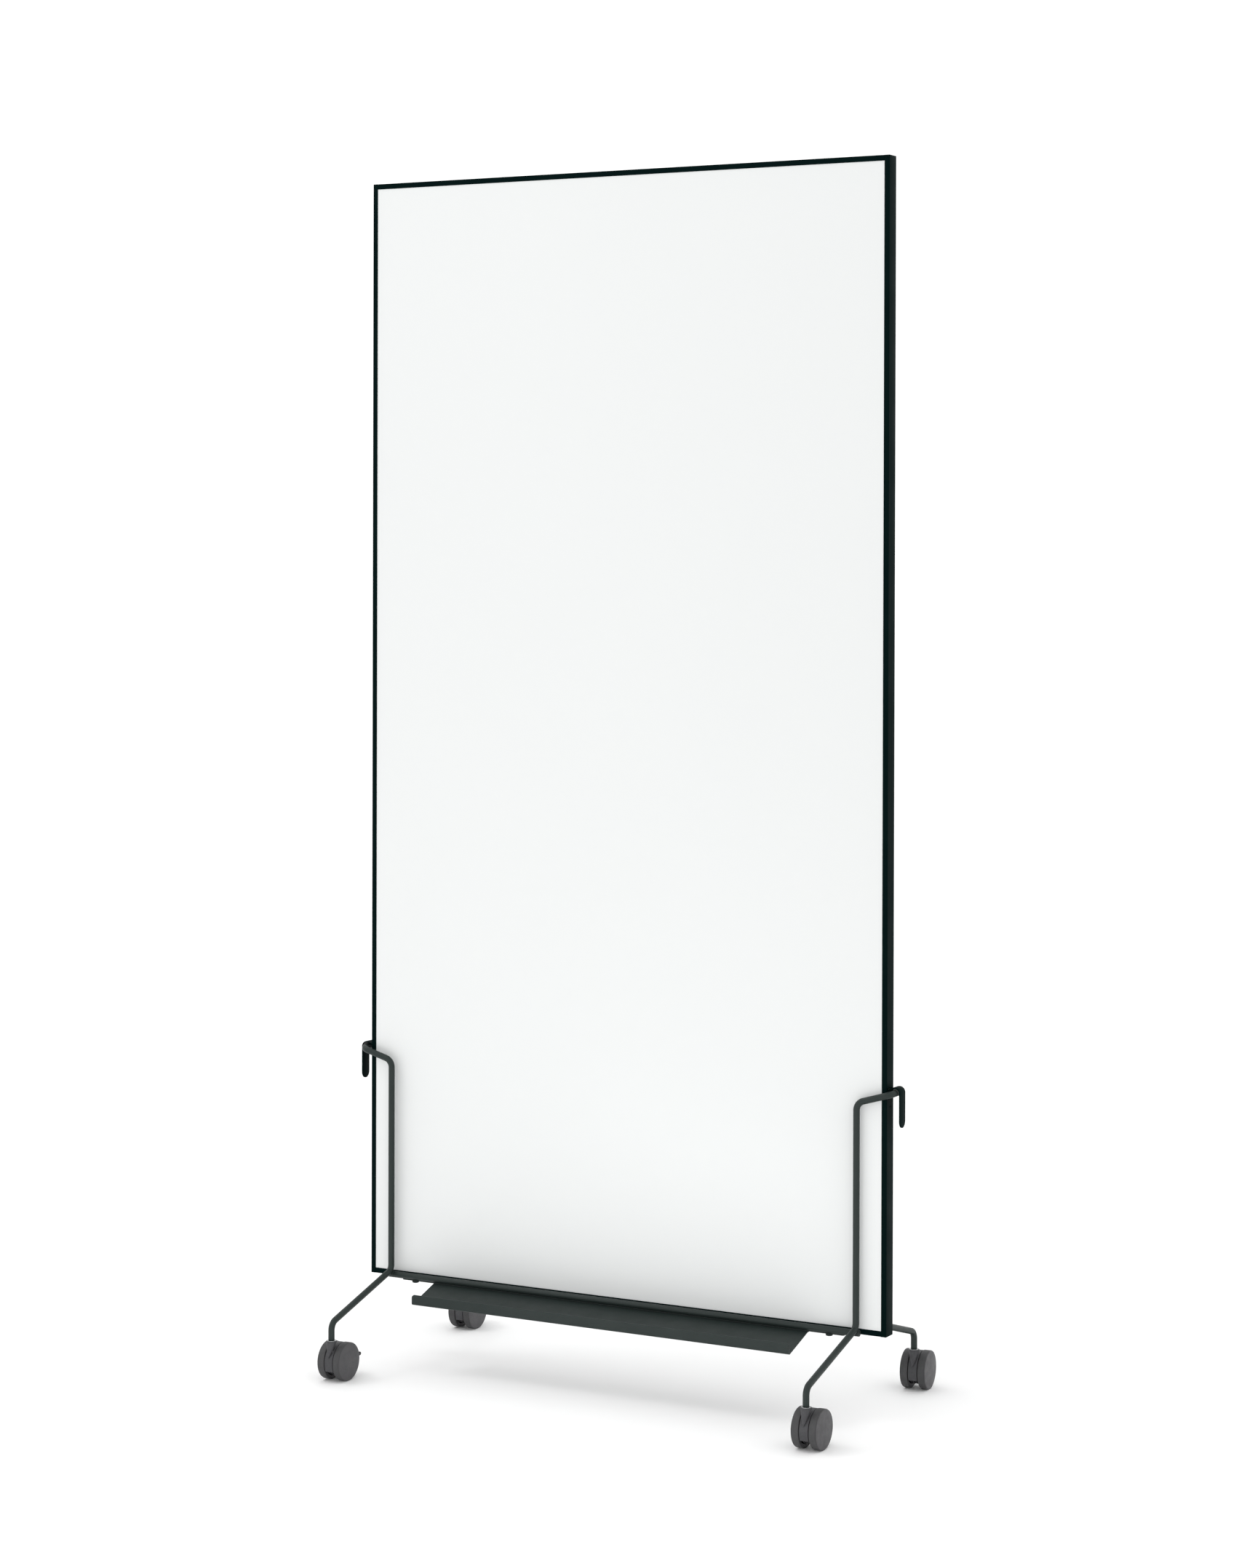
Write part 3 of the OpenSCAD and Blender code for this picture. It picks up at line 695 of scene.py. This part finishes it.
SHEET_REACH = Vector((0.26, 0, 0.26))


def panel_object(name, node):
    """A writing sheet with softly rounded edges that almost meets the frame's lips."""
    low, high = mm_box(node)
    low, high = low - SHEET_REACH, high + SHEET_REACH
    outline = fillet(rectangle(low.x, low.z, high.x, high.z), 0.4, 3)
    verts, faces = prism(outline, low.y, high.y, 0.12, 2)
    return make(name, [Vector((v.x, v.z, v.y)) for v in verts], faces)


for name in ("front_sheet", "rear_sheet"):
    finish_mesh(panel_object(name + "_enamel", name), LOOKS["writing_enamel"], "board", [name])


# ---- Hooks ----

HOOK_R, HOOK_T, HOOK_W, SLOPE = 8.0, 2.0, 20.0, math.radians(20)
HOOK_TAIL, TONGUE_TIP = 34, -52
TONGUE_STEPS = 6
TIP_ANGLES = (75, 60, 48, 38, 29, 21, 14, 9)
SADDLE_R, SADDLE_BORE = 6.98, 5.3


def hook_shell():
    """The bent strap: tail inside the frame, sloping run, arch over the rod and hanging tongue."""
    start_x = -(loop_x - board_half + WEB + HOOK_T / 2)
    top = Vector((-HOOK_R * math.sin(SLOPE), HOOK_R * math.cos(SLOPE)))
    bend_z = top.y - (top.x - start_x) * math.tan(SLOPE)
    tail = [(start_x, bend_z - HOOK_TAIL), (start_x, bend_z), tuple(top)]
    flat = fillet(tail, [0, 1.4, 0], 6, closed=False)
    flat += [Vector(p) for p in arc(0, 0, HOOK_R, 110, 0, 22)][1:]
    tip_r = HOOK_W / 2
    straight = TONGUE_TIP + tip_r
    flat += [Vector((HOOK_R, straight * k / TONGUE_STEPS)) for k in range(1, TONGUE_STEPS + 1)]
    flat += [Vector((HOOK_R, TONGUE_TIP + tip_r * (1 - math.cos(math.radians(a)))))
             for a in TIP_ANGLES]
    path = [Vector((loop_x + p.x, mid_y, loop_z + p.y)) for p in flat]
    section_r = 0.5
    verts = []
    count = len(path)
    for i, p in enumerate(path):
        a, b = path[max(i - 1, 0)], path[min(i + 1, count - 1)]
        along = (b - a).normalized()
        normal = along.cross(Vector((0, 1, 0))).normalized()
        fall = loop_z + TONGUE_TIP + tip_r - p.z
        half = tip_r
        if i >= count - len(TIP_ANGLES) - 3 and fall > 0:
            half = math.sqrt(max(0.5, tip_r * tip_r - fall * fall))
        r = min(section_r, half * 0.45)
        ring = fillet(rectangle(-half, -HOOK_T / 2, half, HOOK_T / 2), r, 3)
        for q in ring:
            verts.append(p + Vector((0, 1, 0)) * q.x + normal * q.y)
    return verts, ring_faces(count, len(ring))


def saddle_shell():
    """The liner between the hook's arch and the rod."""
    outline = arc(0, 0, SADDLE_R, 0, 110, 20) + arc(0, 0, SADDLE_BORE, 110, 0, 20)
    verts, faces = prism(fillet(outline, 0, 1), -HOOK_W / 2, HOOK_W / 2, 0.35, 3)
    return [Vector((loop_x + v.x, mid_y + v.z, loop_z + v.y)) for v in verts], faces


for side in ("left", "right"):
    shell = hook_shell() if side == "right" else mirror_x(hook_shell())
    finish_mesh(make(side + "_hook_strap", *shell), LOOKS["frame_paint"], "board",
                [side + "_hook"], angle=40)
both = merge([saddle_shell(), mirror_x(saddle_shell())])
finish_mesh(make("hook_saddle_set", *both), LOOKS["saddle_nylon"], "board", ["hook_saddles"])


def countersunk_screw():
    """A countersunk screw with a hexagon socket: its face lies at Z = 0."""
    profile = [(0, -1.25), (0.95, -1.15), (1.0, -0.2), (1.15, -0.04), (3.1, -0.04),
               (3.28, -0.12), (3.28, -0.25), (1.75, -1.7), (1.75, -3.5), (1.5, -3.75), (0, -3.75)]
    return lathe(profile, 48, hexagon)


right_screws = [moved(countersunk_screw(), place) for place in side_screw_places()]
all_screws = merge(right_screws + [mirror_x(shell) for shell in right_screws])
finish_mesh(make("hook_screw_set", *all_screws), LOOKS["frame_paint"], "board", ["hook_screws"])


# ---- Casters ----

WHEEL_R = mm_box("front_right_inner_tyre")[1].z / 2
TRAIL, HOUSE_W, WHEEL_IN, WHEEL_OUT = 20.0, 14.4, 8.2, 21.5
FENDER_R, FENDER_IN, SKIRT_Z = WHEEL_R - 0.7, WHEEL_R - 3.2, 17.0
PIVOT_Y, PIVOT_Z = TRAIL + 18, WHEEL_R + 2.5
PEDAL_END, PEDAL_HALF, PADDLE_L = 29.0, 12.5, 15
TREAD_T, TREAD_GAP = 3, 2.05
FLANGE_T = 1.0
BOSS_TIP = 39.0
RIBS_AT, RIB_HALF = (-6.4, -2.1333, 2.1333, 6.4), 0.79


def on_axle(shell):
    """Turns a shape built round Z so that it lies round the axle (X)."""
    verts, faces = shell
    return [Vector((v[2], TRAIL + v[0], WHEEL_R + v[1])) for v in verts], faces


def on_pivot(shell):
    verts, faces = shell
    return [Vector((v[2], PIVOT_Y + v[0], PIVOT_Z + v[1])) for v in verts], faces


def fender_outline():
    """The arched cover between the wheels, open below the skirt."""
    cut = SKIRT_Z - WHEEL_R
    a = math.degrees(math.asin(-cut / FENDER_R))
    b = math.degrees(math.asin(-cut / FENDER_IN))
    outer = arc(0, 0, FENDER_R, -a, 180 + a, 64)
    inner = arc(0, 0, FENDER_IN, 180 + b, -b, 64)
    return outer + inner


def rib_outline():
    """A web across the arch, rounded below the skirt, that carries the axle's hub."""
    cut = SKIRT_Z - WHEEL_R
    r, inner = WHEEL_R - 7, FENDER_IN + 0.6
    a = math.degrees(math.asin(-cut / inner))
    b = math.degrees(math.asin(-cut / r))
    return arc(0, 0, inner, -a, 180 + a, 56) + arc(0, 0, r, 180 + b, 360 - b, 28)


def boss_shell():
    """The boss round the stem: round at the top and drawn down to a point on the fender's front."""
    top, tip, front = caster_top - 0.7, BOSS_TIP, -9.2
    rings = [(tip, 0.5, front - 0.4), (tip + 1.2, 0.95, front)]
    rings += [(tip + (top - 2.5 - tip) * t, 0.5 + 7.6 * t ** 0.72, front * (1 - t ** 0.9))
              for t in (0.15, 0.27, 0.39, 0.51, 0.63, 0.74, 0.84, 0.93, 1)]
    rings += [(top - 0.5, 8.45, 0), (top - 0.18, 8.37, 0), (top, 8.1, 0)]
    count = 64
    verts = []
    for z, r, y in rings:
        for k in range(count):
            a = 2 * math.pi * k / count
            verts.append(Vector((r * math.cos(a), y + r * math.sin(a), z)))
    return verts, ring_faces(len(rings), count)


def housing_object(name, braked):
    """The caster's body: fender, ribs, hub, boss and bores, with slots where a pedal goes in."""
    body = make(name, *on_axle(prism(fender_outline(), -HOUSE_W / 2, HOUSE_W / 2, 0.7)))
    adds = []
    for x in RIBS_AT:
        rib = prism(rib_outline(), x - RIB_HALF, x + RIB_HALF, 0.25, 2)
        adds.append(make("rib", *on_axle(rib)))
    hub = [(0, -7.15), (7.6, -7.15), (8, -6.75), (8, 6.75), (7.6, 7.15), (0, 7.15)]
    adds.append(make("hub", *on_axle(lathe(hub, 48))))
    sleeve = make("sleeve", *lathe([(0, 36), (6.4, 36), (7, 36.6), (7, 64), (0, 64)], 64))
    disc = prism(arc(0, 0, FENDER_R - 1, 0, 360, 96)[:-1], -9, 9)
    adds.append(boolean(sleeve, [make("limit", *on_axle(disc))], "INTERSECT"))
    adds.append(make("boss", *boss_shell()))
    boolean(body, adds, "UNION")
    seat = caster_top - FLANGE_T
    stem_bore = [(0, 37.5), (5, 37.5), (5, seat), (7.55, seat), (7.55, 90), (0, 90)]
    cuts = [make("bore", *lathe(stem_bore, 48))]
    cuts.append(make("bore", *on_axle(lathe(pin_profile(3, -20, 20), 40))))
    if braked:
        for y1, z0, z1 in ((60, PIVOT_Z - 9, PIVOT_Z + 12), (92, PIVOT_Z - 6, PIVOT_Z + 10)):
            slot = fillet(rectangle(-4.3, 30, 4.3, y1), 0.8, 3)
            cuts.append(make("slot", *prism(slot, z0, z1)))
        cuts.append(make("bore", *on_pivot(lathe(pin_profile(1.5, -20, 20), 32))))
    return boolean(body, cuts, "DIFFERENCE")


def wheel_profile():
    """One wheel cover: a domed face with a rim step, hollow behind round the hub."""
    t = WHEEL_OUT - WHEEL_IN
    core, lip, dome = WHEEL_R - TREAD_T, WHEEL_R - 0.35, 1.1
    face = lip - 0.9
    seam = t - TREAD_GAP
    profile = [(3.08, 0.5), (3.3, 0.3), (5.9, 0.3), (6.1, 0.5), (6.3, t - 5.2), (7.0, t - 5),
               (core - 3.6, t - 5), (core - 3.1, t - 5.5), (core - 3, 0.5), (core - 2.8, 0.3),
               (core - 0.2, 0.3), (core, 0.5), (core, seam), (lip - 0.15, seam),
               (lip, seam + 0.15)]
    for degrees in range(0, 91, 15):
        a = math.radians(degrees)
        profile.append((face + 0.9 * math.cos(a), t - dome - 0.75 + 0.75 * math.sin(a)))
    radius = (face * face + dome * dome) / (2 * dome)
    top = math.asin(face / radius)
    dome_steps = 14
    for k in range(1, dome_steps):
        a = top * (1 - k / dome_steps)
        profile.append((radius * math.sin(a), t - radius + radius * math.cos(a)))
    profile += [(0, t), (0, t - 3.1), (2.9, t - 3.1), (3.08, t - 3.3)]
    return profile


def tyre_profile():
    """The tread round a wheel, more rounded at its inner edge than at its outer one."""
    core, t = WHEEL_R - TREAD_T, WHEEL_OUT - WHEEL_IN - TREAD_GAP - 0.12
    inner = arc(WHEEL_R - 1.4, 1.4, 1.4, -90, 0, 6)
    outer = arc(WHEEL_R - 0.5, t - 0.5, 0.5, 0, 90, 4)
    return [(core, 0.15), (core + 0.15, 0)] + inner + outer + [(core + 0.15, t), (core, t - 0.15)]


def bush_profile():
    """The bright collar: a tube round the stem's pin with a flange on top."""
    top = caster_top
    bottom = GROOVE_HIGH
    seat = top - FLANGE_T
    return [(3.9, bottom + 0.3), (4.1, bottom), (4.7, bottom), (5, bottom + 0.3), (5, seat),
            (7.3, seat), (7.5, seat + 0.2), (7.5, top - 0.25), (7.4, top - 0.08), (7.2, top),
            (4.6, top), (4.15, top - 0.18), (3.88, top - 0.6)]


def pedal_object(name):
    """Brake pedal: a pivoted arm with a paddle that has a rounded end and grip ridges."""
    start = PEDAL_END - PADDLE_L
    arm = [(-6, -3), (start + 3, -3), (start + 3, 3), (0.6, 3.2), (-6, 3)]
    body = make(name, *on_pivot(prism(fillet(arm, [1.4, 0.2, 0.2, 1.5, 1.4], 4), -4, 4, 0.5)))
    barrel = [(0, -4), (3.6, -4), (4, -3.6), (4, 3.6), (3.6, 4), (0, 4)]
    knuckle = make("knuckle", *on_pivot(lathe(barrel, 40)))
    side = fillet(rectangle(start, -3, PEDAL_END, 3), [1.2, 2.9, 2.9, 1.2], 6)
    paddle = make("paddle", *on_pivot(prism(side, -PEDAL_HALF, PEDAL_HALF, 1.2, 4)))
    adds = [knuckle, paddle]
    for y in (start + 2.6, start + 5.6, start + 8.6):
        ridge = arc(y, 2.9, 0.62, 0, 360, 12)[:-1]
        ridge_half = PEDAL_HALF - 2.5
        adds.append(make("ridge", *on_pivot(prism(ridge, -ridge_half, ridge_half, 0.25, 2))))
    boolean(body, adds, "UNION")
    bore = make("bore", *on_pivot(lathe(pin_profile(1.58, -20, 20), 32)))
    return boolean(body, [bore], "DIFFERENCE")


def put(obj, matrix):
    obj.data.transform(matrix)
    obj.data.update()
    return obj


for c in CASTERS:
    axis = Vector(JOINTS[c + "_inner_roll"]["axis"])
    angle = math.atan2(axis.y, axis.x)
    spot = Matrix.Translation((stem[c].x, stem[c].y, 0)) @ Matrix.Rotation(angle, 4, "Z")
    swivel = c + "_swivel"
    braked = c in BRAKED
    housing = put(housing_object(c + "_housing_shell", braked), spot)
    finish_mesh(housing, LOOKS["caster_plastic"], swivel, [c + "_housing"])
    collar = put(make(c + "_stem_collar", *lathe(bush_profile(), 64)), spot)
    finish_mesh(collar, LOOKS["bright_steel"], swivel, [c + "_stem_bush"])
    for which in ("inner", "outer"):
        side = (1 if which == "inner" else -1) * (1 if c.endswith("left") else -1)
        seat = Matrix.Translation((side * WHEEL_IN, TRAIL, WHEEL_R))
        hub_place = spot @ (seat @ Matrix.Rotation(side * math.pi / 2, 4, "Y"))
        roller = f"{c}_{which}_roller"
        cover = put(make(f"{c}_{which}_wheel_cover", *lathe(wheel_profile(), 96)), hub_place)
        finish_mesh(cover, LOOKS["wheel_plastic"], roller, [f"{c}_{which}_wheel"],
                    28)
        tread = put(make(f"{c}_{which}_tread", *lathe(tyre_profile(), 96)), hub_place)
        finish_mesh(tread, LOOKS["tread_rubber"], roller, [f"{c}_{which}_tyre"])
    if braked:
        pedal = put(pedal_object(c + "_pedal_moulding"), spot)
        finish_mesh(pedal, LOOKS["pedal_plastic"], c + "_pedal", [c + "_brake_pedal"])


# ---- CAD nodes that are kept as they are, with node materials ----

KEPT = {"panel_core": "core_board", "corner_brackets": "bare_steel"}
for c in CASTERS:
    KEPT[c + "_grip_ring"] = "bare_steel"
    KEPT[c + "_axle"] = "bare_steel"
for c in BRAKED:
    KEPT[c + "_brake_pin"] = "bare_steel"
for node, slot in KEPT.items():
    obj = NODES[node]
    if not obj.material_slots:
        obj.data.materials.append(LOOKS[slot])
    for s in obj.material_slots:
        s.material = LOOKS[slot]


# ---- Floor, light and camera ----

FLOOR_HALF = 60
floor_corners = [(x, y, 0) for x, y in rectangle(-FLOOR_HALF, -FLOOR_HALF, FLOOR_HALF, FLOOR_HALF)]
floor = make("floor", floor_corners, [(0, 1, 2, 3)])
floor.data.materials.append(material("pale_floor", (0.965, 0.965, 0.965), (0.975, 0.975, 0.975),
                                     (0.7, 0.8), 40, 0.00001, patch=0.7))
floor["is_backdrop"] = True

world = bpy.data.worlds.new("studio")
bpy.context.scene.world = world
world.use_nodes = True
background = world.node_tree.nodes["Background"]
background.inputs["Color"].default_value = (1, 1, 1, 1)
background.inputs["Strength"].default_value = 1.15


def soft_light(name, place, aim, size, power):
    """A rectangular lamp that the camera doesn't see. Lengths in metres, power in watts."""
    data = bpy.data.lights.new(name, "AREA")
    data.shape = "RECTANGLE"
    data.size, data.size_y = size
    data.energy = power
    obj = bpy.data.objects.new(name, data)
    bpy.context.scene.collection.objects.link(obj)
    obj.location = place
    obj.rotation_mode = "QUATERNION"
    obj.rotation_quaternion = (Vector(aim) - Vector(place)).to_track_quat("-Z", "Y")
    obj.visible_camera = False
    return obj


soft_light("key", (-3.4, -1.6, 5.2), (0, 0, 0.2), (1.2, 1.2), 30)
soft_light("low_fill", (0.1, -0.85, 0.07), (0.05, 0, 0.22), (1.3, 0.08), 0.9)

view_settings = bpy.context.scene.view_settings
view_settings.view_transform = "Standard"
view_settings.look = "None"

# The camera's turns, and its place in metres from the middle of the board's front lower edge
yaw, pitch, roll = math.radians(28.36), math.radians(0.423), math.radians(0.146)
CAMERA_RIGHT, CAMERA_BACK, CAMERA_UP = 2.4514, 4.5155, 1.1907
ahead = Vector((-math.sin(yaw) * math.cos(pitch), math.cos(yaw) * math.cos(pitch),
                -math.sin(pitch)))
flat_right = Vector((math.cos(yaw), math.sin(yaw), 0))
flat_up = flat_right.cross(ahead)
right_way = flat_right * math.cos(roll) + flat_up * math.sin(roll)
up_way = flat_up * math.cos(roll) - flat_right * math.sin(roll)
camera_data = bpy.data.cameras.new("camera")
camera = bpy.data.objects.new("camera", camera_data)
bpy.context.scene.collection.objects.link(camera)
front_y = (mid_y - board_t / 2) * MM
camera.matrix_world = Matrix((
    (right_way.x, up_way.x, -ahead.x, CAMERA_RIGHT),
    (right_way.y, up_way.y, -ahead.y, front_y - CAMERA_BACK),
    (right_way.z, up_way.z, -ahead.z, base * MM + CAMERA_UP),
    (0, 0, 0, 1)))
camera_data.sensor_width = 36
camera_data.lens = 75.60
camera_data.shift_y = -0.139
camera_data.clip_end = 60
bpy.context.scene.camera = camera

low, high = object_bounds()
